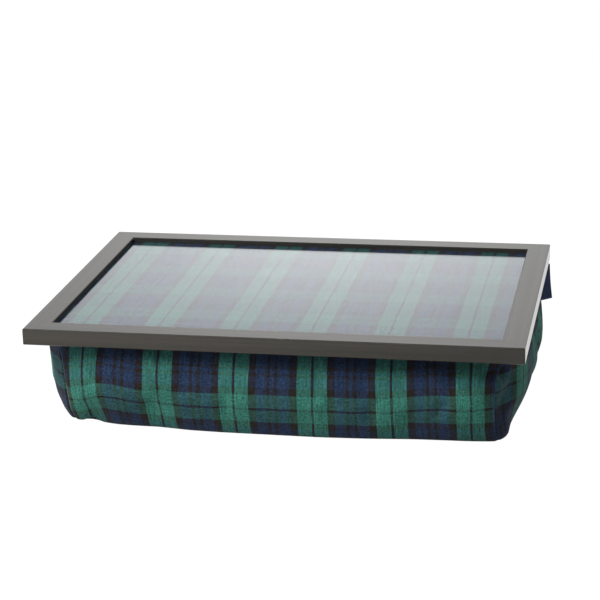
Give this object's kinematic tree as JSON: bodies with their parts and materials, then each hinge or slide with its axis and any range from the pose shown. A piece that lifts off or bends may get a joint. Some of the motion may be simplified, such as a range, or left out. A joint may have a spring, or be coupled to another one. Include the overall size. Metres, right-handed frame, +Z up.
{
  "type": "lap tray",
  "caption": "Lap tray: a mitred frame round a clear sheet over tartan cloth, held by hook-and-loop strips on a zipped tartan bead cushion.",
  "frame": {"origin": "middle of the cushion's flat underside, on the table, below the middle of the tray", "axes": "+X to the right along the tray's long side, +Y from the front to the back with the zip, +Z up"},
  "size_m": [0.4317, 0.3115, 0.093],
  "materials": {
    "frame_wood": "satin",
    "steel": "satin",
    "clear_sheet": "gloss",
    "panel_tartan": "matte",
    "board": "matte",
    "hook": "matte",
    "loop": "matte",
    "cover_tartan": "matte",
    "bead_bag": "matte",
    "label_weave": "satin",
    "zip_tape": "matte",
    "zip_coil": "satin",
    "zip_metal": "satin"
  },
  "bodies": {
    "cushion": {"loop_strip_front_left": "loop", "loop_strip_front_right": "loop", "loop_strip_back_left": "loop", "loop_strip_back_right": "loop", "cover_top": "cover_tartan", "cover_body": "cover_tartan", "gusset_left": "cover_tartan", "gusset_right": "cover_tartan", "bead_fill": "bead_bag", "flag_label": "label_weave", "zip_tape_upper": "zip_tape", "zip_tape_lower": "zip_tape", "zip_coil_upper": "zip_coil", "zip_coil_lower": "zip_coil", "zip_top_stops": "zip_metal", "zip_bottom_stop": "zip_metal"},
    "tray": {"front_rail": "frame_wood", "back_rail": "frame_wood", "left_rail": "frame_wood", "right_rail": "frame_wood", "corner_nails": "steel", "glazing_points": "steel", "clear_sheet": "clear_sheet", "panel_fabric": "panel_tartan", "backing_board": "board", "hook_strip_front_left": "hook", "hook_strip_front_right": "hook", "hook_strip_back_left": "hook", "hook_strip_back_right": "hook"},
    "slider": {"zip_slider": "zip_metal"},
    "pull": {"zip_pull": "zip_metal"}
  },
  "joints": [
    {"name": "tray_lift", "type": "slide", "parent": "cushion", "child": "tray", "axis": [0, 0, 1], "range_m": [0, 0.12]},
    {"name": "zip_slide", "type": "slide", "parent": "cushion", "child": "slider", "axis": [-1, 0, 0], "range_m": [0, 0.2414]},
    {"name": "pull_swing", "type": "hinge", "parent": "slider", "child": "pull", "pos_m": [0.1207, 0.1529, 0.048], "axis": [0, 0, -1], "range_deg": [0, 180]}
  ]
}
